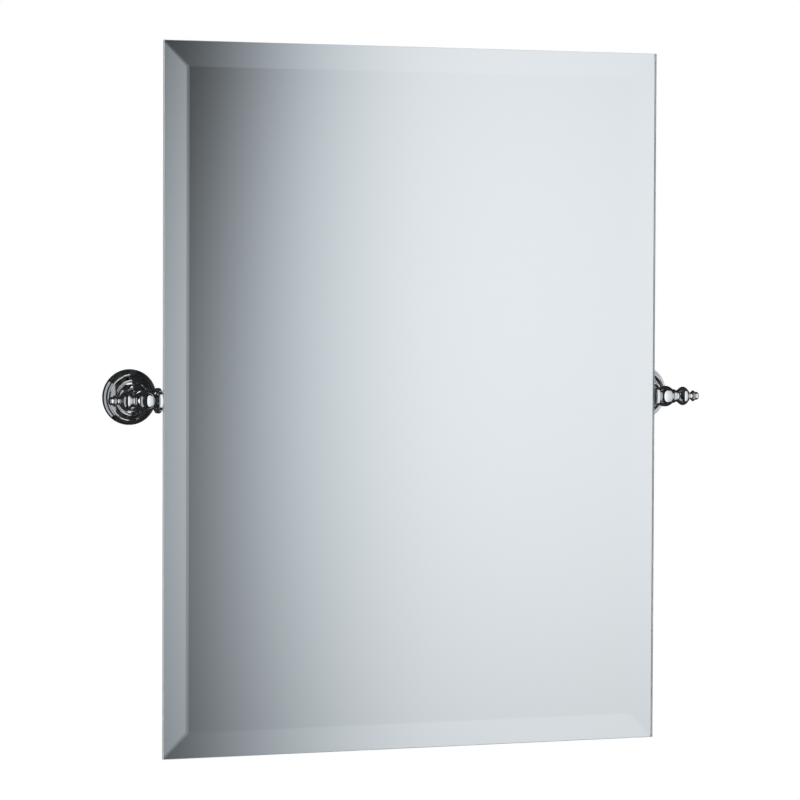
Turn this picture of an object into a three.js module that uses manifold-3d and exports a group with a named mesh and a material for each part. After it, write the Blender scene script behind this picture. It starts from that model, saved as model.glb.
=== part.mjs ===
// Pivot wall mirror: a frameless bevelled mirror that tilts between two turned wall posts.
// Millimetres, +Z up. The wall is the plane y = 0 and the mirror faces -Y. The origin lies in the
// wall plane, at the height of the tilt axis, midway between the two posts.
import * as THREE from 'three';
import { mergeVertices } from 'three/addons/utils/BufferGeometryUtils.js';
import { ConvexGeometry } from 'three/addons/geometries/ConvexGeometry.js';
import Module from 'manifold-3d';

const wasm = await Module();
wasm.setup();

// ---- driving dimensions ------------------------------------------------------------------------
const MIRROR_W = 533.4;            // 21 in
const MIRROR_H = 711.2;            // 28 in
const GLASS_T = 6.0;
const BEVEL_W = 25.4;              // 1 in
const BEVEL_DROP = 2.0;
const REST_TILT = 1.8;             // degrees, top towards the wall
const WALL_TO_AXIS = 59.5;         // wall plane to tilt axis
const FRONT_TO_AXIS = 10.4;        // glass front to tilt axis
const EDGE_TO_DISC = 1.1;          // mirror edge to pivot disc
const DISC_R = 12.7, DISC_T = 4.6;
const DISC_TO_BALL = 14.4;         // disc's inner face to ball centre
const BALL_R = 10.85, BALL_FLAT = 7.6, BALL_BORE_R = 3.4;
const ROSETTE_R = 28.0;
const COLLAR_R = 7.4;
const STUD_R = 2.95, THREAD_R = 3.1;
const COAT_T = 0.2, TAPE_T = 1.0, BOARD_T = 12.0, FIT_GAP = 0.1;
const BOARD_INSET = 8.0;
const PLATE_R = 20.0, PLATE_T = 3.6;
const WALL_SCREW_Z = 12.0;
const SHOWN = 24, HIDDEN = 14;     // segments of shown and hidden turned pieces

const POST_X = MIRROR_W / 2 + EDGE_TO_DISC + DISC_TO_BALL;

// ---- colours -----------------------------------------------------------------------------------
const chrome = () => new THREE.MeshStandardMaterial({ color: 0xd8dadc, roughness: 0.05, metalness: 1.0 });
const steel = () => new THREE.MeshStandardMaterial({ color: 0x9a9c9e, roughness: 0.35, metalness: 1.0 });
const silver = () => new THREE.MeshStandardMaterial({ color: 0xdfe4e6, roughness: 0.02, metalness: 1.0 });
const glassy = () => new THREE.MeshStandardMaterial({ color: 0xc9d2d6, roughness: 0.03, metalness: 0.0 });
const fibreboard = () => new THREE.MeshStandardMaterial({ color: 0x2b2a29, roughness: 0.85, metalness: 0.0 });
const foam = () => new THREE.MeshStandardMaterial({ color: 0xe9e9e4, roughness: 0.9, metalness: 0.0 });
const nylon = () => new THREE.MeshStandardMaterial({ color: 0xe6e6e0, roughness: 0.5, metalness: 0.0 });
const greyPlastic = () => new THREE.MeshStandardMaterial({ color: 0x8d9194, roughness: 0.6, metalness: 0.0 });

// ---- geometry helpers --------------------------------------------------------------------------
// Shared corners merged, slivers without area dropped, faces turned outwards.
function closed(source) {
  const g = source.clone();
  g.deleteAttribute('normal');
  g.deleteAttribute('uv');
  const merged = mergeVertices(g, 1e-4);
  const p = merged.attributes.position.array;
  const idx = merged.index.array;
  const tri = [];
  for (let i = 0; i < idx.length; i += 3) {
    const [a, b, c] = [idx[i], idx[i + 1], idx[i + 2]];
    if (a !== b && b !== c && a !== c) tri.push(a, b, c);
  }
  let volume = 0;
  for (let i = 0; i < tri.length; i += 3) {
    const [a, b, c] = [tri[i] * 3, tri[i + 1] * 3, tri[i + 2] * 3];
    volume += p[a] * (p[b + 1] * p[c + 2] - p[b + 2] * p[c + 1])
            - p[a + 1] * (p[b] * p[c + 2] - p[b + 2] * p[c])
            + p[a + 2] * (p[b] * p[c + 1] - p[b + 1] * p[c]);
  }
  if (volume < 0) for (let i = 0; i < tri.length; i += 3) [tri[i], tri[i + 1]] = [tri[i + 1], tri[i]];
  const out = new THREE.BufferGeometry();
  out.setAttribute('position', new THREE.BufferAttribute(new Float32Array(p), 3));
  out.setIndex(tri);
  return out;
}
function solid(geometry) {
  const g = closed(geometry);
  return new wasm.Manifold(new wasm.Mesh({
    numProp: 3,
    vertProperties: new Float32Array(g.attributes.position.array),
    triVerts: new Uint32Array(g.index.array),
  }));
}
function shape(manifold) {
  const m = manifold.getMesh();
  const g = new THREE.BufferGeometry();
  g.setAttribute('position', new THREE.BufferAttribute(new Float32Array(m.vertProperties), 3));
  g.setIndex(Array.from(m.triVerts));
  return g;
}
const cut = (body, ...tools) => shape(tools.reduce((b, t) => b.subtract(solid(t)), solid(body)));
const join = (body, ...more) => shape(more.reduce((b, t) => b.add(solid(t)), solid(body)));

// Turned piece: profile of [height, radius] pairs, about +Y, then laid along +X or -Y.
function turned(profile, segments = SHOWN) {
  return new THREE.LatheGeometry(profile.map(([h, r]) => new THREE.Vector2(r, h)), segments);
}
const alongX = (g) => g.rotateZ(-Math.PI / 2);
const outFromWall = (g) => g.rotateX(Math.PI);
function box(w, d, h, x, y, z) { return new THREE.BoxGeometry(w, d, h).translate(x, y, z); }
function rod(r, length, axis, x, y, z, segments = HIDDEN) {
  const g = new THREE.CylinderGeometry(r, r, length, segments);
  if (axis === 'x') g.rotateZ(Math.PI / 2);
  if (axis === 'z') g.rotateX(Math.PI / 2);
  return g.translate(x, y, z);
}
function node(parent, name, geometry, material, x = 0, y = 0, z = 0) {
  const mesh = new THREE.Mesh(closed(geometry), material);
  mesh.name = name;
  mesh.position.set(x, y, z);
  parent.add(mesh);
  return mesh;
}

const mirror = new THREE.Group();

// ---- tilting part ------------------------------------------------------------------------------
const tilting = new THREE.Group();
tilting.position.set(0, -WALL_TO_AXIS, 0);
tilting.rotation.x = -REST_TILT * Math.PI / 180;
mirror.add(tilting);

const yFront = -FRONT_TO_AXIS;
const yGlassBack = yFront + GLASS_T;
const yCoat = yGlassBack + FIT_GAP;
const yTape = yCoat + COAT_T + FIT_GAP;              // also the front of the bracket blocks
const yBoard = yTape + TAPE_T + FIT_GAP;
const yBoardBack = yBoard + BOARD_T;
const w = MIRROR_W / 2, h = MIRROR_H / 2;

// Glass plate: flat centre, four bevelled borders, flat edge.
const glassCorners = [];
for (const sx of [-1, 1]) for (const sz of [-1, 1]) {
  glassCorners.push(new THREE.Vector3(sx * w, yGlassBack, sz * h));
  glassCorners.push(new THREE.Vector3(sx * w, yFront + BEVEL_DROP, sz * h));
  glassCorners.push(new THREE.Vector3(sx * (w - BEVEL_W), yFront, sz * (h - BEVEL_W)));
}
node(tilting, 'mirror_glass', new ConvexGeometry(glassCorners), glassy());
node(tilting, 'mirror_coating', box(MIRROR_W - 1, COAT_T, MIRROR_H - 1, 0, yCoat + COAT_T / 2, 0), silver());

// Backing board, open at both sides for the pivot brackets, with pilot holes for their screws.
const BLOCK_L = 22.0, BLOCK_H = 18.0, FLANGE_L = 36.0, FLANGE_H = 62.0, FLANGE_T = 2.2;
const boardW = MIRROR_W - 2 * BOARD_INSET, boardH = MIRROR_H - 2 * BOARD_INSET;
const screwSpots = [[10, -22], [10, 22], [28, -22], [28, 22]];   // in from the board's side, height
const boardTools = [];
for (const side of [-1, 1]) {
  boardTools.push(box(BLOCK_L + 0.6 + 2, BOARD_T + 2, BLOCK_H + 0.8,
    side * (boardW / 2 - (BLOCK_L + 0.6) / 2 + 1), yBoard + BOARD_T / 2, 0));
  for (const [inset, z] of screwSpots) {
    boardTools.push(rod(1.7, 10.5, 'y', side * (boardW / 2 - inset), yBoardBack - 4.75, z, 12));
  }
}
node(tilting, 'backing_board', cut(box(boardW, BOARD_T, boardH, 0, yBoard + BOARD_T / 2, 0), ...boardTools), fibreboard());
for (const [name, z] of [['top', 290], ['middle', 120], ['bottom', -290]]) {
  node(tilting, `mounting_tape_${name}`, box(470, TAPE_T, 30, 0, yTape + TAPE_T / 2, z), foam());
}

// ---- pieces that exist on both sides -----------------------------------------------------------
for (const [label, side] of [['left', -1], ['right', 1]]) {
  // Pivot bracket: block in the board's side with the threaded hole, and a flange on the back.
  const boardSide = side * boardW / 2;
  const yFlange = yBoardBack + 0.2;
  const block = box(BLOCK_L, yFlange - yTape, BLOCK_H, boardSide - side * BLOCK_L / 2, (yTape + yFlange) / 2, 0);
  const flange = box(FLANGE_L, FLANGE_T, FLANGE_H, boardSide - side * FLANGE_L / 2, yFlange + FLANGE_T / 2, 0);
  const bracketTools = [rod(THREAD_R, BLOCK_L - 4, 'x', boardSide - side * (BLOCK_L - 4) / 2 + side * 0.5, 0, 0, HIDDEN)];
  for (const [inset, z] of screwSpots) {
    bracketTools.push(rod(1.8, FLANGE_T + 2, 'y', boardSide - side * inset, yFlange + FLANGE_T / 2, z, 12));
  }
  node(tilting, `pivot_bracket_${label}`, cut(join(block, flange), ...bracketTools), steel());
  screwSpots.forEach(([inset, z], i) => {
    const head = yFlange + FLANGE_T + 0.1;
    node(tilting, `bracket_screw_${label}_${i + 1}`, turned([[0, 0], [0, 2.6], [0.7, 3.4], [1.9, 3.4], [1.9, 1.5],
      [10.4, 1.5], [11.6, 0]].map(([y, r]) => [1.9 - y, r]), 12), steel(), boardSide - side * inset, head, z);
  });

  // Pivot line, in order outwards from the mirror. Turned pieces are drawn pointing outwards along
  // +X and turned round for the left side. Heights count from the ball's centre.
  const line = new THREE.Group();
  line.position.set(side * POST_X, 0, 0);
  if (side < 0) line.rotation.y = Math.PI;
  tilting.add(line);
  const b = 3.2;                                     // clearance bore on the stud
  const discIn = -DISC_TO_BALL, discOut = discIn + DISC_T;
  const sleeveIn = discIn - EDGE_TO_DISC - BOARD_INSET + 0.1;
  node(line, `pivot_stud_${label}`, alongX(turned([[sleeveIn - 16, 0], [sleeveIn - 16, 2.3], [sleeveIn - 15.4, STUD_R],
    [22.4, STUD_R], [23, 2.3], [23, 0]], HIDDEN)), steel());
  node(line, `spacer_sleeve_${label}`, alongX(turned([[sleeveIn, 3.1], [sleeveIn, 3.95], [discIn - 0.1, 3.95], [discIn - 0.1, 3.1],
    [sleeveIn, 3.1]], HIDDEN)), steel());
  node(line, `pivot_disc_${label}`, alongX(turned([
    [discIn, b], [discIn, DISC_R - 1.5], [discIn + 0.45, DISC_R - 0.45], [discIn + 1.6, DISC_R],
    [discOut - 1.6, DISC_R], [discOut - 0.45, DISC_R - 0.45], [discOut, DISC_R - 1.5],
    [discOut, 6.4], [discOut + 0.4, 5.9], [-BALL_FLAT - 0.9, 5.8], [-BALL_FLAT - 0.9, b], [discIn, b]])), chrome());
  node(line, `friction_washer_inner_${label}`, alongX(turned([[-BALL_FLAT - 0.8, b], [-BALL_FLAT - 0.8, 6.4],
    [-BALL_FLAT - 0.1, 6.4], [-BALL_FLAT - 0.1, b], [-BALL_FLAT - 0.8, b]], HIDDEN)), nylon());
  node(line, `friction_washer_outer_${label}`, alongX(turned([[BALL_FLAT + 0.1, b], [BALL_FLAT + 0.1, 7.2],
    [BALL_FLAT + 0.8, 7.2], [BALL_FLAT + 0.8, b], [BALL_FLAT + 0.1, b]], HIDDEN)), nylon());
  node(line, `thrust_collar_${label}`, alongX(turned([[8.5, b], [8.5, 7.1], [8.8, COLLAR_R], [11.1, COLLAR_R - 0.45],
    [11.4, 6.6], [11.4, b], [8.5, b]])), chrome());

  // Finial knob: waist, bulb with a flared inner side and a small bead, neck, ring and button tip, with a
  // blind threaded hole.
  const knob = [[11.6, 0], [11.6, 6.35], [12.2, 6.1], [12.8, 5.75], [13.5, 5.6], [14.4, 5.97], [15.5, 6.88], [16.7, 7.8],
    [18.0, 8.72], [19.3, 9.47], [20.6, 9.7], [22.1, 9.44], [23.6, 8.65], [24.8, 7.55], [25.5, 6.6], [25.6, 6.15], [26.35, 5.95],
    [27.0, 4.72], [27.8, 3.94], [28.7, 3.66], [30.0, 3.9], [31.2, 4.65], [32.2, 5.68], [32.8, 5.68], [34.0, 4.42], [35.6, 4.17],
    [37.2, 3.95], [38.1, 3.1], [38.6, 1.2], [38.65, 0]];
  const bore = [[10.6, 0], [10.6, THREAD_R], [23.2, THREAD_R], [24.6, 0]];
  node(line, `finial_knob_${label}`, cut(alongX(turned(knob)), alongX(turned(bore, HIDDEN))), chrome());

  // ---- wall side: fixed pieces, heights count out from the wall ---------------------------------
  const wall = new THREE.Group();
  wall.position.set(side * POST_X, 0, 0);
  mirror.add(wall);

  // Rosette: rim, sloped shoulder, riser, second ring, groove, cone, raised ring, step and hub outside; hollow over the wall plate and
  // under the hub. The set screw's hole goes in through the rim from below.
  const rosetteProfile = [[0.0, 27.4], [0.6, ROSETTE_R], [2.6, ROSETTE_R], [3.6, 27.4], [5.3, 25.75], [7.5, 24.7], [8.6, 23.55],
    [7.9, 22.7], [8.9, 22.1], [12.1, 18.0], [11.9, 17.5], [13.3, 16.7], [13.7, 16.0], [13.5, 15.0], [14.1, 13.6], [15.7, 11.9],
    [16.2, 10.8], [16.8, 10.2], [16.8, 4.2], [14.2, 4.2], [14.2, 9.4], [11.0, 14.4], [5.2, 19.5], [3.7, 20.8], [0.0, 20.8], [0.0, 27.4]];
  node(wall, `rosette_${label}`, cut(outFromWall(turned(rosetteProfile)), rod(1.35, 12, 'z', 0, -1.9, -23.5, 12)), chrome());
  node(wall, `grub_screw_${label}`, rod(1.2, 5.0, 'z', 0, -1.9, -23.7, 12), steel());

  // Post: foot on the rosette, waist, bead, neck and the ball, which is bored and flattened across.
  const stem = [[14.5, 0], [14.5, 3.9], [17.1, 3.9], [17.1, 9.0], [17.8, 9.4], [18.8, 9.1], [20.2, 7.7], [23.5, 6.4],
    [28.5, 6.0], [34.0, 6.4], [36.5, 7.5], [37.7, 8.6], [38.9, 9.0], [40.1, 8.6], [41.2, 7.3], [43.0, 6.2], [46.5, 5.8], [49.8, 6.1]];
  const first = Math.asin(6.4 / BALL_R);
  for (let i = 0; i <= 10; i++) {
    const a = first + (Math.PI - first) * i / 10;
    stem.push([WALL_TO_AXIS - BALL_R * Math.cos(a), i === 10 ? 0 : BALL_R * Math.sin(a)]);
  }
  const flats = [-1, 1].map((s) => box(10, 30, 30, s * (BALL_FLAT + 5), -WALL_TO_AXIS, 0));
  node(wall, `post_${label}`, cut(outFromWall(turned(stem)), ...flats,
    rod(BALL_BORE_R, 30, 'x', 0, -WALL_TO_AXIS, 0), rod(2.6, 10.8, 'y', 0, -(14.0 + 5.4), 0)), chrome());
  node(wall, `post_washer_${label}`, outFromWall(turned([[13.0, 2.8], [13.0, 6.8], [14.0, 6.8], [14.0, 2.8], [13.0, 2.8]], HIDDEN)), steel());
  node(wall, `post_screw_${label}`, outFromWall(turned([[9.6, 0], [9.6, 3.6], [10.2, 4.5], [12.8, 4.5], [12.8, 2.4], [23.4, 2.4],
    [24.0, 1.8], [24.0, 0]], HIDDEN)), steel());

  // Wall plate with two countersunk screws, each in a plastic plug in the wall.
  const plate = outFromWall(turned([[0, 0], [0, PLATE_R], [PLATE_T - 0.8, PLATE_R], [PLATE_T - 0.2, PLATE_R - 1.4], [PLATE_T - 0.2, 0]], 24));
  const countersunk = (z) => outFromWall(turned([[-1, 0], [-1, 2.5], [1.4, 2.5], [PLATE_T, 4.7], [PLATE_T + 1, 4.7], [PLATE_T + 1, 0]], HIDDEN)).translate(0, 0, z);
  node(wall, `wall_plate_${label}`, cut(plate, countersunk(WALL_SCREW_Z), countersunk(-WALL_SCREW_Z)), steel());
  for (const [place, z] of [['upper', WALL_SCREW_Z], ['lower', -WALL_SCREW_Z]]) {
    node(wall, `wall_screw_${place}_${label}`, outFromWall(turned([[-34, 0], [-30, 1.9], [1.2, 1.9], [3.2, 4.0], [3.35, 4.0], [3.35, 0]], HIDDEN)),
      steel(), 0, 0, z);
    node(wall, `wall_anchor_${place}_${label}`, outFromWall(turned([[-36, 2.2], [-36, 3.3], [-33, 3.8], [-1.4, 3.9], [-1.4, 4.6], [-0.3, 4.6], [-0.3, 2.2],
      [-36, 2.2]], HIDDEN)), greyPlastic(), 0, 0, z);
  }
}

export default mirror;
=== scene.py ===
import math

import bmesh
import bpy
from mathutils import Matrix, Vector


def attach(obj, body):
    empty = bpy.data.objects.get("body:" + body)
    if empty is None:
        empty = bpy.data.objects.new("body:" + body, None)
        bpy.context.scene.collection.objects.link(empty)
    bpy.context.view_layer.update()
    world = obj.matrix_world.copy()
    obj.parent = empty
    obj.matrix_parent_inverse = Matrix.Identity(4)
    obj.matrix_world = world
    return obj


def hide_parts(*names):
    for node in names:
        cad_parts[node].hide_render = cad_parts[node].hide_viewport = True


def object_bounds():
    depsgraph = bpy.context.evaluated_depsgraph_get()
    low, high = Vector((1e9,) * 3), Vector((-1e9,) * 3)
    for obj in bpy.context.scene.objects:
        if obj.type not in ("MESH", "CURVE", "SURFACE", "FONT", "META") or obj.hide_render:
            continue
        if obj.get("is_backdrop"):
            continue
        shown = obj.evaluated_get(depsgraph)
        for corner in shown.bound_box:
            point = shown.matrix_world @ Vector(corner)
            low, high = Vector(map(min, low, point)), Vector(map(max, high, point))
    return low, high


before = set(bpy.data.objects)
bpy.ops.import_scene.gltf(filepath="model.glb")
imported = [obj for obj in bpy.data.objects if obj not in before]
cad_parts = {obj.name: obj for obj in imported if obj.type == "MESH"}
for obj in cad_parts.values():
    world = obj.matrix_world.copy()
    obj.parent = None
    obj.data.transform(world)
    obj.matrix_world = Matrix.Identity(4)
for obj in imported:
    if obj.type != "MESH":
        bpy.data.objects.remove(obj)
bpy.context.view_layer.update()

# ---- sizes, in millimetres, as in the CAD model ---------------------------------------------------
MM = 0.001
MIRROR_W, MIRROR_H, GLASS_T = 533.4, 711.2, 6.0
BEVEL_W, BEVEL_DROP = 25.4, 2.0
REST_TILT = 1.8
WALL_TO_AXIS, FRONT_TO_AXIS = 59.5, 10.4
EDGE_TO_DISC, DISC_R, DISC_T, DISC_TO_BALL = 1.1, 12.7, 4.6, 14.4
BALL_R, BALL_FLAT, BALL_BORE_R = 10.85, 7.6, 3.4
ROSETTE_R, COLLAR_R = 28.0, 7.4
BOARD_INSET = 8.0
BOARD_BACK = -FRONT_TO_AXIS + GLASS_T + 0.1 + 0.2 + 0.1 + 1.0 + 0.1 + 12.0
POST_X = MIRROR_W / 2 + EDGE_TO_DISC + DISC_TO_BALL
PLATE_T = 3.4

TILT = Matrix.Translation((0, -WALL_TO_AXIS, 0)) @ Matrix.Rotation(math.radians(-REST_TILT), 4, "X")
SIDES = (("left", -1), ("right", 1))
scene = bpy.context.scene


# ---- mesh helpers ---------------------------------------------------------------------------------
def rounded(points):
    """A polyline of (h, r) or (h, r, fillet) points, with each filleted corner turned into an arc."""
    out = []
    n = len(points)
    for i, p in enumerate(points):
        f = p[2] if len(p) > 2 else 0
        if f <= 0 or i in (0, n - 1):
            out.append((p[0], p[1]))
            continue
        a, b, c = Vector(points[i - 1][:2]), Vector(p[:2]), Vector(points[i + 1][:2])
        u, v = a - b, c - b
        lu, lv = u.length, v.length
        if lu < 1e-6 or lv < 1e-6:
            out.append((p[0], p[1]))
            continue
        u, v = u / lu, v / lv
        ang = math.acos(max(-1, min(1, u.dot(v))))
        if ang > math.radians(178) or ang < math.radians(2):
            out.append((p[0], p[1]))
            continue
        t = min(f / math.tan(ang / 2), 0.49 * lu, 0.49 * lv)
        rad = t * math.tan(ang / 2)
        centre = b + (u + v).normalized() * (rad / math.sin(ang / 2))
        s, e = b + u * t - centre, b + v * t - centre
        a0 = math.atan2(s.y, s.x)
        d = math.atan2(e.y, e.x) - a0
        d = (d + math.pi) % (2 * math.pi) - math.pi
        steps = max(3, math.ceil(abs(d) / math.radians(7)))
        for k in range(steps + 1):
            w = a0 + d * k / steps
            out.append((centre.x + rad * math.cos(w), centre.y + rad * math.sin(w)))
    return out


def ellipse(h0, half, r, a0, a1, n):
    """Points of an ellipse about the axis: angle 0 is its widest place, positive angles go to larger h."""
    return [(h0 + half * math.sin(a0 + (a1 - a0) * i / n), r * math.cos(a0 + (a1 - a0) * i / n)) for i in range(n + 1)]


def flowing(points, steps=6):
    """A smooth curve through the points (Catmull-Rom with even speed)."""
    p = [Vector(q) for q in points]
    p = [p[0] * 2 - p[1]] + p + [p[-1] * 2 - p[-2]]
    out = []
    for i in range(1, len(p) - 2):
        t = [0.0]
        for k in range(3):
            t.append(t[-1] + math.sqrt((p[i + k] - p[i + k - 1]).length))
        for n in range(steps):
            u = t[1] + (t[2] - t[1]) * n / steps
            a = [p[i + k - 1].lerp(p[i + k], (u - t[k]) / (t[k + 1] - t[k])) for k in range(3)]
            b = [a[k].lerp(a[k + 1], (u - t[k]) / (t[k + 2] - t[k])) for k in range(2)]
            c = b[0].lerp(b[1], (u - t[1]) / (t[2] - t[1]))
            out.append((c.x, max(c.y, 0.0)))
    return out + [tuple(points[-1])]


def lathe(name, profile, segments=144, ring=False, inner=None):
    """A closed turned mesh about local +X. inner(h, r, i) gives the material slot of a profile step."""
    pts = [profile[0]]
    for p in profile[1:]:
        if (p[0] - pts[-1][0]) ** 2 + (p[1] - pts[-1][1]) ** 2 > 1e-8:
            pts.append(p)
    bm = bmesh.new()
    rows = []
    for h, r in pts:
        if r < 1e-6:
            rows.append([bm.verts.new((h, 0, 0))])
        else:
            rows.append([bm.verts.new((h, r * math.cos(2 * math.pi * k / segments), r * math.sin(2 * math.pi * k / segments)))
                         for k in range(segments)])
    pairs = [(i, i + 1) for i in range(len(pts) - 1)] + ([(len(pts) - 1, 0)] if ring else [])
    for i, j in pairs:
        a, b = rows[i], rows[j]
        m = inner((pts[i][0] + pts[j][0]) / 2, (pts[i][1] + pts[j][1]) / 2, i) if inner else 0
        for k in range(segments):
            k2 = (k + 1) % segments
            if len(a) == 1 and len(b) == 1:
                continue
            if len(a) == 1:
                f = bm.faces.new((a[0], b[k2], b[k]))
            elif len(b) == 1:
                f = bm.faces.new((a[k], a[k2], b[0]))
            else:
                f = bm.faces.new((a[k], a[k2], b[k2], b[k]))
            f.material_index = m
    return finish_mesh(name, bm)


def finish_mesh(name, bm):
    bmesh.ops.remove_doubles(bm, verts=bm.verts, dist=1e-5)
    bmesh.ops.recalc_face_normals(bm, faces=bm.faces)
    mesh = bpy.data.meshes.new(name)
    bm.to_mesh(mesh)
    bm.free()
    obj = bpy.data.objects.new(name, mesh)
    scene.collection.objects.link(obj)
    return obj


def block(name, lo, hi, bevel=0.0, segments=3):
    bm = bmesh.new()
    bmesh.ops.create_cube(bm, size=1.0)
    for v in bm.verts:
        v.co = Vector([lo[i] + (v.co[i] + 0.5) * (hi[i] - lo[i]) for i in range(3)])
    if bevel:
        bmesh.ops.bevel(bm, geom=list(bm.edges), offset=bevel, segments=segments, profile=0.5, affect="EDGES")
    return finish_mesh(name, bm)


def boolean(obj, cutters, operation="DIFFERENCE"):
    for cutter in cutters:
        m = obj.modifiers.new("cut", "BOOLEAN")
        m.object, m.operation, m.solver = cutter, operation, "EXACT"
        m.material_mode = "TRANSFER"
    bpy.context.view_layer.update()
    done = bpy.data.meshes.new_from_object(obj.evaluated_get(bpy.context.evaluated_depsgraph_get()))
    obj.modifiers.clear()
    obj.data = done
    for cutter in cutters:
        bpy.data.objects.remove(cutter)
    return obj


def shade(obj, angle=32.0):
    """Smooth faces, with the edges sharper than angle kept crisp."""
    bm = bmesh.new()
    bm.from_mesh(obj.data)
    limit = math.radians(angle)
    for f in bm.faces:
        f.smooth = True
    for e in bm.edges:
        e.smooth = len(e.link_faces) == 2 and e.calc_face_angle(0) < limit
    bm.to_mesh(obj.data)
    bm.free()
    return obj


def place(obj, matrix):
    """Moves the mesh itself into the row frame, millimetres to metres."""
    obj.data.transform(Matrix.Scale(MM, 4) @ matrix)
    obj.data.update()
    return obj


def skin(obj, *materials):
    for i, m in enumerate(materials):
        if i < len(obj.data.materials):
            obj.data.materials[i] = m
        else:
            obj.data.materials.append(m)
    return obj


# ---- material helpers -----------------------------------------------------------------------------
class Nodes:
    def __init__(self, name):
        self.mat = bpy.data.materials.new(name)
        self.mat.use_nodes = True
        self.nt = self.mat.node_tree
        self.bsdf = self.nt.nodes["Principled BSDF"]
        self.coord = None

    def add(self, kind, **values):
        n = self.nt.nodes.new(kind)
        for k, v in values.items():
            setattr(n, k, v)
        return n

    def link(self, a, b):
        self.nt.links.new(a, b)

    def position(self):
        if self.coord is None:
            self.coord = self.add("ShaderNodeTexCoord")
        return self.coord.outputs["Object"]

    def noise(self, scale, detail=2.0, rough=0.5, stretch=None):
        n = self.add("ShaderNodeTexNoise")
        n.inputs["Scale"].default_value = scale
        n.inputs["Detail"].default_value = detail
        n.inputs["Roughness"].default_value = rough
        src = self.position()
        if stretch:
            m = self.add("ShaderNodeMapping")
            m.inputs["Scale"].default_value = stretch
            self.link(src, m.inputs["Vector"])
            src = m.outputs["Vector"]
        self.link(src, n.inputs["Vector"])
        return n.outputs["Fac"]

    def ramp(self, fac, stops):
        r = self.add("ShaderNodeValToRGB")
        e = r.color_ramp.elements
        while len(e) < len(stops):
            e.new(0.5)
        for i, (pos, col) in enumerate(stops):
            e[i].position = pos
            e[i].color = (*col, 1) if len(col) == 3 else col
        self.link(fac, r.inputs["Fac"])
        return r.outputs["Color"]

    def span(self, fac, lo, hi, lo_in=0.0, hi_in=1.0):
        m = self.add("ShaderNodeMapRange")
        for key, value in (("From Min", lo_in), ("From Max", hi_in), ("To Min", lo), ("To Max", hi)):
            m.inputs[key].default_value = value
        self.link(fac, m.inputs["Value"])
        return m.outputs["Result"]

    def bump(self, height, strength, distance):
        b = self.add("ShaderNodeBump")
        b.inputs["Strength"].default_value = strength
        b.inputs["Distance"].default_value = distance
        self.link(height, b.inputs["Height"])
        self.link(b.outputs["Normal"], self.bsdf.inputs["Normal"])

    def set(self, **values):
        for k, v in values.items():
            self.bsdf.inputs[k.replace("_", " ")].default_value = v
        return self


def chrome_material():
    m = Nodes("polished_chrome").set(Metallic=1.0)
    tone = m.noise(9.0, 2.0)
    m.link(m.ramp(tone, [(0.3, (0.66, 0.672, 0.69)), (0.7, (0.70, 0.71, 0.725))]), m.bsdf.inputs["Base Color"])
    m.link(m.span(m.noise(240.0, 3.0), 0.035, 0.065), m.bsdf.inputs["Roughness"])
    return m.mat


def cast_inside_material():
    m = Nodes("plated_inside").set(Metallic=1.0)
    m.link(m.ramp(m.noise(320.0, 4.0), [(0.3, (0.33, 0.32, 0.30)), (0.75, (0.47, 0.46, 0.43))]), m.bsdf.inputs["Base Color"])
    m.link(m.span(m.noise(600.0, 3.0), 0.34, 0.52), m.bsdf.inputs["Roughness"])
    m.bump(m.noise(900.0, 3.0), 0.35, 0.0002)
    return m.mat


def steel_material():
    m = Nodes("zinc_steel").set(Metallic=1.0)
    m.link(m.ramp(m.noise(420.0, 4.0, 0.6), [(0.25, (0.46, 0.47, 0.49)), (0.55, (0.57, 0.58, 0.59)), (0.8, (0.66, 0.66, 0.65))]),
           m.bsdf.inputs["Base Color"])
    m.link(m.span(m.noise(260.0, 3.0), 0.28, 0.44), m.bsdf.inputs["Roughness"])
    m.bump(m.noise(1400.0, 2.0), 0.12, 0.00015)
    return m.mat


def glass_material(name, roughness, tint):
    m = Nodes(name).set(Metallic=0.0, IOR=1.52, Transmission_Weight=1.0)
    m.link(m.ramp(m.noise(3.0, 1.0), [(0.3, tint), (0.7, tuple(min(1, t * 1.004) for t in tint))]), m.bsdf.inputs["Base Color"])
    if roughness:
        m.link(m.span(m.noise(700.0, 3.0), roughness * 0.7, roughness * 1.3), m.bsdf.inputs["Roughness"])
    else:
        m.set(Roughness=0.0)
    return m.mat


def ground_edge_material():
    """Fine-ground glass: part of the light scatters at the surface, the rest goes through."""
    m = Nodes("ground_glass_edge").set(Metallic=0.0, IOR=1.52, Transmission_Weight=0.45)
    m.link(m.ramp(m.noise(900.0, 3.0), [(0.3, (0.86, 0.90, 0.89)), (0.7, (0.93, 0.96, 0.95))]), m.bsdf.inputs["Base Color"])
    m.link(m.span(m.noise(500.0, 3.0), 0.28, 0.42), m.bsdf.inputs["Roughness"])
    m.bump(m.noise(2200.0, 2.0), 0.1, 0.0001)
    return m.mat


def silver_material():
    m = Nodes("silvering").set(Metallic=1.0, Roughness=0.0)
    m.link(m.ramp(m.noise(2.5, 1.0), [(0.3, (0.925, 0.935, 0.93)), (0.7, (0.93, 0.94, 0.935))]), m.bsdf.inputs["Base Color"])
    return m.mat


def paint_material():
    m = Nodes("mirror_back_paint").set(Metallic=0.0)
    m.link(m.ramp(m.noise(60.0, 4.0), [(0.3, (0.085, 0.095, 0.105)), (0.7, (0.11, 0.12, 0.13))]), m.bsdf.inputs["Base Color"])
    m.link(m.span(m.noise(40.0, 3.0), 0.45, 0.62), m.bsdf.inputs["Roughness"])
    m.bump(m.noise(220.0, 3.0), 0.15, 0.0003)
    return m.mat


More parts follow.
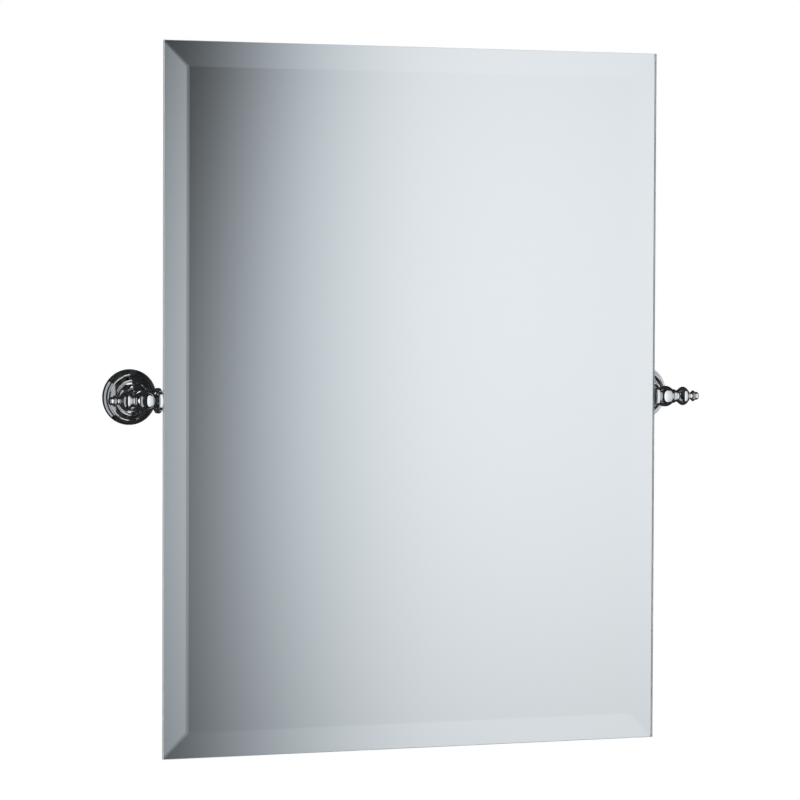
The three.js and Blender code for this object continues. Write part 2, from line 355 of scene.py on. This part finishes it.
def board_material():
    """Fibreboard sealed with black paint; the fibres stand through the thin paint."""
    m = Nodes("sealed_board").set(Metallic=0.0)
    fibre = m.noise(150.0, 5.0, 0.65, (1.0, 3.0, 1.6))
    patch = m.noise(7.0, 3.0)
    a = m.ramp(fibre, [(0.25, (0.020, 0.019, 0.018)), (0.55, (0.032, 0.030, 0.028)), (0.82, (0.055, 0.050, 0.045))])
    b = m.ramp(patch, [(0.3, (0.82, 0.82, 0.82)), (0.7, (1.12, 1.10, 1.08))])
    mix = m.add("ShaderNodeMix", data_type="RGBA", blend_type="MULTIPLY")
    mix.inputs["Factor"].default_value = 1.0
    m.link(a, mix.inputs["A"])
    m.link(b, mix.inputs["B"])
    m.link(mix.outputs["Result"], m.bsdf.inputs["Base Color"])
    m.link(m.span(fibre, 0.55, 0.8), m.bsdf.inputs["Roughness"])
    m.bump(m.noise(380.0, 5.0, 0.7), 0.3, 0.0004)
    return m.mat


def plastic_material(name, dark, light, rough=(0.42, 0.58), grain=900.0):
    m = Nodes(name).set(Metallic=0.0)
    m.link(m.ramp(m.noise(130.0, 3.0), [(0.3, dark), (0.7, light)]), m.bsdf.inputs["Base Color"])
    m.link(m.span(m.noise(300.0, 3.0), *rough), m.bsdf.inputs["Roughness"])
    m.bump(m.noise(grain, 2.0), 0.18, 0.0002)
    return m.mat


CHROME = chrome_material()
INSIDE = cast_inside_material()
STEEL = steel_material()
GLASS = glass_material("clear_plate_glass", 0.0, (0.985, 0.992, 0.99))
GLASS_EDGE = ground_edge_material()
SILVER = silver_material()
PAINT = paint_material()
BOARD = board_material()
FOAM = plastic_material("foam_tape", (0.70, 0.70, 0.67), (0.82, 0.82, 0.79), (0.75, 0.92), 500.0)
NYLON = plastic_material("black_nylon", (0.018, 0.018, 0.019), (0.03, 0.03, 0.031))
PLUG = plastic_material("grey_plug_plastic", (0.25, 0.27, 0.29), (0.33, 0.35, 0.37))


# ---- the mirror plate -----------------------------------------------------------------------------
def glass_plate():
    """Bevelled plate: flat front, four polished bevels, flat ground edge with small arrises, silvered back."""
    w, h = MIRROR_W / 2, MIRROR_H / 2
    yf, yb = -FRONT_TO_AXIS, -FRONT_TO_AXIS + GLASS_T
    slope = BEVEL_DROP / BEVEL_W
    a = 0.28
    levels = [(BEVEL_W, yf), (a, yf + BEVEL_DROP - a * slope), (0.0, yf + BEVEL_DROP + a * 0.6), (0.0, yb - a), (a, yb)]
    bm = bmesh.new()
    loops = [[bm.verts.new((sx * (w - i), y, sz * (h - i))) for sx, sz in ((-1, -1), (1, -1), (1, 1), (-1, 1))] for i, y in levels]
    bm.faces.new(loops[0]).material_index = 0
    kinds = [0, 1, 1, 1]
    for n, (p, q) in enumerate(zip(loops, loops[1:])):
        for k in range(4):
            bm.faces.new((p[k], q[k], q[(k + 1) % 4], p[(k + 1) % 4])).material_index = kinds[n]
    bm.faces.new(loops[-1][::-1]).material_index = 2
    return finish_mesh("bevelled_glass", bm)


glass = skin(place(glass_plate(), TILT), GLASS, GLASS_EDGE, SILVER)
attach(glass, "mirror")
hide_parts("mirror_glass")

yc = -FRONT_TO_AXIS + GLASS_T + 0.02
coat = block("painted_back", (-MIRROR_W / 2 + 0.6, yc, -MIRROR_H / 2 + 0.6), (MIRROR_W / 2 - 0.6, yc + 0.26, MIRROR_H / 2 - 0.6))
skin(place(coat, TILT), PAINT)
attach(coat, "mirror")
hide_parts("mirror_coating")

skin(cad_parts["backing_board"], BOARD)
for n in ("top", "middle", "bottom"):
    skin(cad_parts["mounting_tape_" + n], FOAM)


# ---- turned and machined pieces of both sides -----------------------------------------------------
def carry(obj, body, node, material_slot, *materials, angle=32.0):
    skin(obj, *materials)
    shade(obj, angle)
    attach(obj, body)
    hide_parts(node)
    return obj


def cross_recess(name, centre, depth, reach, axis="Y"):
    """A tapered cross that is cut into a screw's head. It points along -Y from centre."""
    parts = []
    for turn in (0, 90):
        bm = bmesh.new()
        bmesh.ops.create_cube(bm, size=1.0)
        for v in bm.verts:
            deep = v.co.y < 0
            k = 0.45 if deep else 1.0
            v.co = Vector((v.co.x * 2 * reach * k, (-depth if deep else 0.6), v.co.z * 0.9 * (0.75 if deep else 1.0)))
        o = finish_mesh(name + str(turn), bm)
        o.data.transform(Matrix.Translation(centre) @ Matrix.Rotation(math.radians(turn + 20), 4, "Y"))
        parts.append(o)
    return parts


ROSETTE = rounded([
    (0.0, 27.4), (0.3, ROSETTE_R, 0.15), (2.5, ROSETTE_R, 0.15), (4.1, 27.2, 0.12), (5.6, 25.55, 0.15), (7.8, 24.5, 0.15), (8.9, 23.35, 0.2),
    (8.2, 22.6, 0.12), (9.5, 21.95, 0.12), (12.5, 17.95, 0.12), (12.0, 17.35, 0.12), (13.6, 16.4, 0.2), (12.9, 15.4, 0.25),
    (13.5, 13.8, 0.8), (15.7, 12.1, 0.4), (16.05, 11.4, 0.2), (16.35, 10.7, 0.25), (16.8, 10.2, 0.2), (16.8, 4.2), (14.2, 4.2),
    (14.2, 9.4, 0.6), (11.0, 14.4, 1.0), (5.2, 19.5, 0.6), (3.7, 20.8), (0.0, 20.8), (0.0, 27.4)])[:-1]
ROSETTE_BACK = ROSETTE.index((16.8, 4.2))

STEM_FOOT = [(14.5, 0), (14.5, 3.9), (16.85, 3.9), (16.85, 9.0, 0.15), (17.7, 9.5, 0.6), (18.6, 9.2, 0.6), (19.9, 7.7, 1.2), (23.2, 6.4, 5.0),
             (29.0, 6.0, 8.0), (34.5, 6.5, 4.0), (36.5, 7.5, 0.3)]
BALL_START = math.asin(6.4 / BALL_R)
STEM = (rounded(STEM_FOOT + [(36.9, 7.6)]) + ellipse(38.9, 2.0, 9.0, -0.55 * math.pi / 2, 0.55 * math.pi / 2, 14)
        + rounded([(41.1, 7.4), (41.5, 6.9, 0.4), (43.3, 6.2, 2.0), (46.5, 5.8, 5.0), (49.6, 6.2, 1.0), (WALL_TO_AXIS - BALL_R * math.cos(BALL_START), 6.4)])
        + [(WALL_TO_AXIS - BALL_R * math.cos(BALL_START + (math.pi - BALL_START) * i / 44),
            BALL_R * math.sin(BALL_START + (math.pi - BALL_START) * i / 44) if i < 44 else 0) for i in range(1, 45)])

KNOB = ([(24.4, 0), (23.2, 3.1), (11.6, 3.1)] + rounded([(11.6, 3.1), (11.6, 6.4, 0.15), (12.05, 6.4, 0.15), (12.2, 6.15)])
        + flowing([(12.3, 6.05), (12.8, 5.75), (13.5, 5.6), (14.4, 5.97), (15.5, 6.88), (16.7, 7.8), (18.0, 8.72), (19.3, 9.47), (20.6, 9.7),
                   (22.1, 9.44), (23.6, 8.65), (24.8, 7.55), (25.5, 6.62)])
        + rounded([(25.55, 6.5), (25.6, 6.2, 0.1), (26.35, 5.98, 0.25), (26.6, 5.45)])
        + flowing([(26.65, 5.35), (27.0, 4.72), (27.8, 3.94), (28.7, 3.66), (30.0, 3.9), (31.2, 4.65), (32.0, 5.5), (32.5, 5.78), (33.0, 5.5),
                   (34.0, 4.42), (34.8, 4.2), (35.6, 4.17), (37.2, 3.95), (38.1, 3.1), (38.5, 1.9), (38.65, 0.0)]))

DISC = rounded([(-DISC_TO_BALL, 3.2), (-DISC_TO_BALL, DISC_R, 1.3), (-DISC_TO_BALL + DISC_T, DISC_R, 1.3), (-DISC_TO_BALL + DISC_T, 6.1, 0.4),
                (-BALL_FLAT - 0.85, 5.8, 0.15), (-BALL_FLAT - 0.85, 3.2)])
COLLAR = rounded([(8.45, 3.2), (8.45, COLLAR_R, 0.35), (11.1, COLLAR_R - 0.45, 0.5), (11.45, 6.5, 0.2), (11.45, 3.2)])

for label, side in SIDES:
    line = TILT @ Matrix.Translation((side * POST_X, 0, 0))
    if side < 0:
        line = line @ Matrix.Rotation(math.pi, 4, "Z")
    wall = Matrix.Translation((side * POST_X, 0, 0)) @ Matrix.Rotation(-math.pi / 2, 4, "Z")

    o = place(lathe(f"finial_{label}", KNOB, 160), line)
    carry(o, f"finial_{label}", f"finial_knob_{label}", "chrome", CHROME)
    o = place(lathe(f"disc_{label}", DISC, 160, ring=True), line)
    carry(o, "mirror", f"pivot_disc_{label}", "chrome", CHROME)
    o = place(lathe(f"collar_{label}", COLLAR, 144, ring=True), line)
    carry(o, "mirror", f"thrust_collar_{label}", "chrome", CHROME)
    o = place(lathe(f"stud_{label}", rounded([(-39.4, 0), (-39.4, 2.3), (-38.8, 2.95), (22.4, 2.95), (23, 2.3), (23, 0)]), 48), line)
    carry(o, "mirror", f"pivot_stud_{label}", "steel", STEEL)
    o = place(lathe(f"sleeve_{label}", rounded([(-23.4, 3.1), (-23.4, 3.95, 0.2), (-14.5, 3.95, 0.2), (-14.5, 3.1)]), 72, ring=True), line)
    carry(o, "mirror", f"spacer_sleeve_{label}", "steel", STEEL)
    for place_name, lo, hi, r in (("inner", -8.4, -7.62, 5.6), ("outer", 7.62, 8.42, 7.1)):
        o = place(lathe(f"washer_{place_name}_{label}", rounded([(lo, 3.2), (lo, r, 0.15), (hi, r, 0.15), (hi, 3.2)]), 96, ring=True), line)
        carry(o, "wall_side", f"friction_washer_{place_name}_{label}", "nylon", NYLON)

    # wall side
    o = lathe(f"rosette_shell_{label}", ROSETTE, 192, ring=True, inner=lambda h, r, i: 1 if i >= ROSETTE_BACK else 0)
    skin(o, CHROME, INSIDE)
    hole = lathe("hole", [(-4.5, 0), (-4.5, 1.35), (4.5, 1.35), (4.5, 0)], 40)
    hole.data.transform(Matrix.Translation((1.9, 0, -24.6)) @ Matrix.Rotation(math.pi / 2, 4, "Y"))
    skin(hole, INSIDE)
    boolean(o, [hole])
    place(o, wall)
    carry(o, "wall_side", f"rosette_{label}", "chrome", CHROME, INSIDE)
    rosette = o

    o = lathe(f"set_screw_{label}", rounded([(-2.5, 0), (-2.5, 1.2, 0.2), (2.5, 1.2, 0.2), (2.5, 0)]), 40)
    o.data.transform(Matrix.Translation((1.9, 0, -23.7)) @ Matrix.Rotation(math.pi / 2, 4, "Y"))
    place(o, wall)
    carry(o, "wall_side", f"grub_screw_{label}", "steel", STEEL)

    o = lathe(f"stem_{label}", STEM, 176)
    skin(o, CHROME)
    cutters = [block("flat", (WALL_TO_AXIS - 15, s * (BALL_FLAT + 5) - 5, -15), (WALL_TO_AXIS + 15, s * (BALL_FLAT + 5) + 5, 15)) for s in (-1, 1)]
    bore = lathe("bore", [(-15, 0), (-15, BALL_BORE_R), (15, BALL_BORE_R), (15, 0)], 64)
    bore.data.transform(Matrix.Translation((WALL_TO_AXIS, 0, 0)) @ Matrix.Rotation(math.pi / 2, 4, "Z"))
    tapped = lathe("tapped", [(13.8, 0), (13.8, 2.6), (24.8, 2.6), (24.8, 0)], 48)
    for c in cutters + [bore, tapped]:
        skin(c, CHROME)
    boolean(o, cutters + [bore, tapped])
    place(o, wall)
    carry(o, "wall_side", f"post_{label}", "chrome", CHROME)

    o = place(lathe(f"lock_washer_{label}", rounded([(13.0, 2.8), (13.0, 6.8, 0.2), (14.1, 6.8, 0.2), (14.1, 2.8)]), 72, ring=True), wall)
    carry(o, "wall_side", f"post_washer_{label}", "steel", STEEL)
    o = place(lathe(f"machine_screw_{label}", rounded([(9.6, 0), (9.6, 3.9, 0.8), (10.6, 4.5, 0.6), (12.9, 4.5, 0.2), (12.9, 2.4), (23.4, 2.4), (24.0, 1.8), (24.0, 0)]), 64), wall)
    carry(o, "wall_side", f"post_screw_{label}", "steel", STEEL)

    o = lathe(f"plate_{label}", rounded([(0, 0), (0, 20.0, 0.2), (PLATE_T - 0.6, 20.0, 0.2), (PLATE_T, 18.6, 0.3), (PLATE_T, 0)]), 128)
    skin(o, STEEL)
    sinks = []
    for z in (12.0, -12.0):
        c = lathe("sink", [(-1, 0), (-1, 2.5), (1.4, 2.5), (3.6, 4.7), (4.6, 4.7), (4.6, 0)], 48)
        c.data.transform(Matrix.Translation((0, 0, z)))
        sinks.append(skin(c, STEEL))
    boolean(o, sinks)
    place(o, wall)
    carry(o, "wall_side", f"wall_plate_{label}", "steel", STEEL)

    for where, z in (("upper", 12.0), ("lower", -12.0)):
        spot = wall @ Matrix.Translation((0, 0, z))
        shank = [(-34, 0), (-31.5, 0.9)]
        h = -31.5
        while h < -4:
            shank += [(h, 1.45), (h + 0.55, 1.9), (h + 0.75, 1.9), (h + 1.3, 1.45)]
            h += 1.6
        o = place(lathe(f"wood_screw_{where}_{label}", shank + [(-2.6, 1.9), (1.2, 1.9), (3.15, 4.0), (3.35, 3.9), (3.35, 0)], 40), spot)
        carry(o, "wall_side", f"wall_screw_{where}_{label}", "steel", STEEL)
        ribs = [(-36, 2.2), (-36, 3.1)]
        h = -35
        while h < -6:
            ribs += [(h, 3.3), (h + 1.6, 3.9), (h + 1.75, 3.3)]
            h += 2.2
        o = lathe(f"plug_{where}_{label}", ribs + [(-3.4, 3.9), (-1.5, 3.9), (-1.4, 4.6), (-0.3, 4.6), (-0.3, 2.2)], 48, ring=True)
        skin(o, PLUG)
        slots = [skin(block("slot", (-37, -0.45, -5), (-13, 0.45, 5)), PLUG)]
        boolean(o, slots)
        place(o, spot)
        carry(o, "wall_side", f"wall_anchor_{where}_{label}", "anchor_plastic", PLUG)

    # pivot bracket on the board: block with the threaded hole, flange with rounded corners
    bs = side * (MIRROR_W / 2 - BOARD_INSET)
    yb0, yf0 = BOARD_BACK - 13.1, BOARD_BACK + 0.2
    xs = sorted((bs, bs - side * 22.0))
    fs = sorted((bs, bs - side * 36.0))
    o = block(f"bracket_{label}", (xs[0], yb0, -9), (xs[1], yf0 + 1.0, 9), 0.35)
    flange = block("flange", (fs[0], yf0, -31), (fs[1], yf0 + 2.2, 31), 0.35)
    skin(o, STEEL)
    skin(flange, STEEL)
    boolean(o, [flange], "UNION")
    tools = []
    c = lathe("t", [(-9.5, 0), (-9.5, 3.1), (9.5, 3.1), (9.5, 0)], 48)
    c.data.transform(Matrix.Translation((bs - side * 8.5, 0, 0)))
    tools.append(skin(c, STEEL))
    spots = [(10, -22), (10, 22), (28, -22), (28, 22)]
    for inset, z in spots:
        c = lathe("t", [(-3, 0), (-3, 1.8), (3, 1.8), (3, 0)], 32)
        c.data.transform(Matrix.Translation((bs - side * inset, yf0 + 1.1, z)) @ Matrix.Rotation(math.pi / 2, 4, "Z"))
        tools.append(skin(c, STEEL))
    boolean(o, tools)
    place(o, TILT)
    carry(o, "mirror", f"pivot_bracket_{label}", "steel", STEEL)
    for i, (inset, z) in enumerate(spots):
        shank = rounded([(1.9, 0), (1.9, 2.0), (1.55, 2.9, 0.8), (0.6, 3.4, 0.5), (0.0, 3.4, 0.15), (0.0, 1.5), (-8.5, 1.5), (-9.7, 0)])
        o = lathe(f"pan_screw_{label}_{i + 1}", shank, 48)
        o.data.transform(Matrix.Rotation(math.pi / 2, 4, "Z"))
        skin(o, STEEL)
        cut = cross_recess("cross", (0, 1.9, 0), 1.2, 1.7)
        for c in cut:
            skin(c, STEEL)
        boolean(o, cut)
        place(o, TILT @ Matrix.Translation((bs - side * inset, yf0 + 2.3, z)))
        carry(o, "mirror", f"bracket_screw_{label}_{i + 1}", "steel", STEEL)

# ---- camera ---------------------------------------------------------------------------------------
F_PX, CX, CY, CZ = 3565.3235, -1310.1268, -3368.2372, 228.0058
YAW, PITCH, ROLL = math.radians(21.05067), math.radians(-3.63911), math.radians(0.86403)
fwd = Vector((math.sin(YAW) * math.cos(PITCH), math.cos(YAW) * math.cos(PITCH), math.sin(PITCH)))
right = Vector((math.cos(YAW), -math.sin(YAW), 0))
up = right.cross(fwd)
r = right * math.cos(ROLL) + up * math.sin(ROLL)
u = up * math.cos(ROLL) - right * math.sin(ROLL)
cam_data = bpy.data.cameras.new("camera")
cam_data.sensor_width = 36.0
cam_data.lens = F_PX / 800 * 36.0
cam_data.clip_start, cam_data.clip_end = 0.05, 100
cam = bpy.data.objects.new("camera", cam_data)
scene.collection.objects.link(cam)
m = Matrix((r, u, -fwd)).transposed().to_4x4()
m.translation = Vector((CX, CY - WALL_TO_AXIS, CZ)) * MM
cam.matrix_world = m
scene.camera = cam


# ---- studio ---------------------------------------------------------------------------------------
def emitter(name, strength=1.0, colour=(1, 1, 1)):
    mat = bpy.data.materials.new(name)
    mat.use_nodes = True
    nt = mat.node_tree
    nt.nodes.clear()
    out = nt.nodes.new("ShaderNodeOutputMaterial")
    em = nt.nodes.new("ShaderNodeEmission")
    em.inputs["Color"].default_value = (*colour, 1)
    em.inputs["Strength"].default_value = strength
    nt.links.new(em.outputs[0], out.inputs["Surface"])
    return mat, nt, em


def card(name, corners, mat):
    bm = bmesh.new()
    bm.faces.new([bm.verts.new(c) for c in corners])
    mesh = bpy.data.meshes.new(name)
    bm.to_mesh(mesh)
    bm.free()
    o = bpy.data.objects.new(name, mesh)
    scene.collection.objects.link(o)
    mesh.materials.append(mat)
    o.visible_camera = False
    o.visible_shadow = False
    o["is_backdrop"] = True
    return o


def maths(op, a, b=None, c=None):
    n = nt.nodes.new("ShaderNodeMath")
    n.operation = op
    for i, x in enumerate((a, b, c)):
        if x is None:
            continue
        if isinstance(x, (int, float)):
            n.inputs[i].default_value = x
        else:
            nt.links.new(x, n.inputs[i])
    return n.outputs[0]


def step(x, edge, soft):
    """0 below the edge, 1 above it, with a soft change between."""
    return maths("MULTIPLY_ADD", maths("TANH", maths("DIVIDE", maths("SUBTRACT", x, edge), soft)), 0.5, 0.5)


# A screen in front of the object, which only the plate shows, through its glass: a wide soft change
# from dark on the left to pale on the right, a little darker towards the top and the bottom.
AXIS_Y = -WALL_TO_AXIS * MM
mat, nt, em = emitter("plate_screen", 1.0)
tc = nt.nodes.new("ShaderNodeTexCoord")
sep = nt.nodes.new("ShaderNodeSeparateXYZ")
nt.links.new(tc.outputs["Object"], sep.inputs[0])
X = maths("MINIMUM", sep.outputs["X"], 1.2)
Z = maths("MAXIMUM", maths("MINIMUM", sep.outputs["Z"], 0.55), -0.55)
Z2 = maths("MULTIPLY", Z, Z)
centre = maths("MULTIPLY_ADD", Z, 0.0382, maths("MULTIPLY_ADD", Z2, 0.1647, 0.1501))
soft = maths("MULTIPLY_ADD", Z, -0.0425, 0.1158)
u = maths("MAXIMUM", maths("DIVIDE", maths("SUBTRACT", X, centre), soft), -4.0)
rise = maths("EXPONENT", maths("MULTIPLY", maths("EXPONENT", maths("MULTIPLY", u, -1.0)), -1.0))
top = maths("MULTIPLY_ADD", Z, 0.1117, maths("MULTIPLY_ADD", Z2, -0.473, 0.9265))
fade = maths("MULTIPLY", maths("MAXIMUM", maths("SUBTRACT", X, 0.4), 0.0), 0.2423)
level = maths("MAXIMUM", maths("SUBTRACT", maths("MULTIPLY_ADD", rise, top, -0.0104), fade), 0.0)
nt.links.new(level, em.inputs["Strength"])
tint = nt.nodes.new("ShaderNodeMix")
tint.data_type = "RGBA"
tint.inputs["A"].default_value = (0.876, 1.0, 1.124, 1)
tint.inputs["B"].default_value = (0.963, 1.0, 1.043, 1)
nt.links.new(rise, tint.inputs["Factor"])
nt.links.new(tint.outputs["Result"], em.inputs["Color"])
y = AXIS_Y - 1.0
screen = card("screen", [(-6, y, -4), (6, y, -4), (6, y, 4), (-6, y, 4)], mat)
screen.visible_glossy = False
screen.visible_diffuse = False

# Soft boxes that the metal shows: a round-edged one in front, with its left edge just left of the object,
# which loses light to the right and goes on along the right side, and a dimmer one far to the left.
mat, nt, em = emitter("front_box", 1.5, (0.97, 1.0, 1.02))
tc = nt.nodes.new("ShaderNodeTexCoord")
sep = nt.nodes.new("ShaderNodeSeparateXYZ")
nt.links.new(tc.outputs["Object"], sep.inputs[0])
across = maths("DIVIDE", maths("SUBTRACT", maths("MINIMUM", sep.outputs["X"], 2.2), 2.2), 2.59)
along = maths("DIVIDE", maths("SUBTRACT", sep.outputs["Z"], 0.05), 3.05)
far = maths("SQRT", maths("ADD", maths("MULTIPLY", across, across), maths("MULTIPLY", along, along)))
blur = maths("MULTIPLY_ADD", maths("MAXIMUM", maths("SUBTRACT", -0.8, sep.outputs["Z"]), 0.0), 0.03, 0.008)
inside = maths("SUBTRACT", 1.0, step(far, 1.0, blur))
fall = maths("EXPONENT", maths("DIVIDE", maths("ADD", sep.outputs["X"], 0.2), -1.1))
nt.links.new(maths("MULTIPLY", inside, maths("MULTIPLY_ADD", fall, 0.7, 0.8)), em.inputs["Strength"])
y = AXIS_Y - 1.36
boxes = [card("front_box", [(-0.45, y, -3.6), (3.4, y, -3.6), (3.4, y, 3.4), (-0.45, y, 3.4)], mat)]
mat, nt, em = emitter("right_box", 0.75, (0.97, 1.0, 1.02))
boxes.append(card("right_box", [(3.4, y, -3.0), (3.4, -0.35, -3.0), (3.4, -0.35, 3.0), (3.4, y, 3.0)], mat))
mat, nt, em = emitter("left_box", 0.55, (0.97, 1.0, 1.02))
boxes.append(card("left_box", [(-3.0, -0.22, -4.8), (-3.0, -2.06, -4.8), (-3.0, -2.06, 2.5), (-3.0, -0.22, 2.5)], mat))
# a white patch on the wall beside the right rosette, which its outer rings show
mat, nt, em = emitter("wall_patch", 0.85, (0.97, 0.985, 1.03))
patch = card("wall_patch", [(0.3135, 0.002, -0.08), (0.37, 0.002, -0.08), (0.37, 0.002, 0.08), (0.3135, 0.002, 0.08)], mat)
lit = bpy.data.collections.new("lit_by_wall_patch")
lit.objects.link(rosette)
patch.light_linking.receiver_collection = lit
boxes.append(patch)
for b in boxes:
    b.visible_transmission = False
    b.visible_diffuse = False

# floor, and a world that is white behind the object, even on its plain surfaces and dark in its metal
mat, nt2, em2 = emitter("pale_floor", 1.0)
floor = card("floor", [(-30, -30, -1.4), (30, -30, -1.4), (30, 30, -1.4), (-30, 30, -1.4)], mat)
floor.visible_camera = True
floor.visible_glossy = False
floor.visible_transmission = False
floor.visible_diffuse = False

world = bpy.data.worlds.new("studio")
scene.world = world
world.use_nodes = True
wn = world.node_tree
wn.nodes.clear()
out = wn.nodes.new("ShaderNodeOutputWorld")
path = wn.nodes.new("ShaderNodeLightPath")
bg_seen = wn.nodes.new("ShaderNodeBackground")
bg_seen.inputs["Color"].default_value = (1, 1, 1, 1)
bg_seen.inputs["Strength"].default_value = 1.0
bg_soft = wn.nodes.new("ShaderNodeBackground")
bg_soft.inputs["Color"].default_value = (0.9, 0.95, 1, 1)
bg_soft.inputs["Strength"].default_value = 1.0
bg_dark = wn.nodes.new("ShaderNodeBackground")
bg_dark.inputs["Color"].default_value = (1, 1, 1, 1)
wtc = wn.nodes.new("ShaderNodeTexCoord")
dim = wn.nodes.new("ShaderNodeTexNoise")
dim.inputs["Scale"].default_value = 2.6
dim.inputs["Detail"].default_value = 1.0
wn.links.new(wtc.outputs["Generated"], dim.inputs["Vector"])
dim_range = wn.nodes.new("ShaderNodeMapRange")
for key, value in (("From Min", 0.3), ("From Max", 0.7), ("To Min", 0.008), ("To Max", 0.055)):
    dim_range.inputs[key].default_value = value
wn.links.new(dim.outputs["Fac"], dim_range.inputs["Value"])
wn.links.new(dim_range.outputs["Result"], bg_dark.inputs["Strength"])
mix1 = wn.nodes.new("ShaderNodeMixShader")
bg_through = wn.nodes.new("ShaderNodeBackground")
bg_through.inputs["Color"].default_value = (0.95, 0.98, 1, 1)
bg_through.inputs["Strength"].default_value = 1.8
mix0 = wn.nodes.new("ShaderNodeMixShader")
wn.links.new(path.outputs["Is Diffuse Ray"], mix1.inputs[0])
wn.links.new(path.outputs["Is Transmission Ray"], mix0.inputs[0])
wn.links.new(bg_dark.outputs[0], mix0.inputs[1])
wn.links.new(bg_through.outputs[0], mix0.inputs[2])
wn.links.new(mix0.outputs[0], mix1.inputs[1])
wn.links.new(bg_soft.outputs[0], mix1.inputs[2])
mix2 = wn.nodes.new("ShaderNodeMixShader")
wn.links.new(path.outputs["Is Camera Ray"], mix2.inputs[0])
wn.links.new(mix1.outputs[0], mix2.inputs[1])
wn.links.new(bg_seen.outputs[0], mix2.inputs[2])
wn.links.new(mix2.outputs[0], out.inputs["Surface"])

scene.view_settings.view_transform = "Standard"
scene.view_settings.look = "None"
scene.view_settings.exposure = 0.0
scene.view_settings.gamma = 1.0

lo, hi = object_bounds()
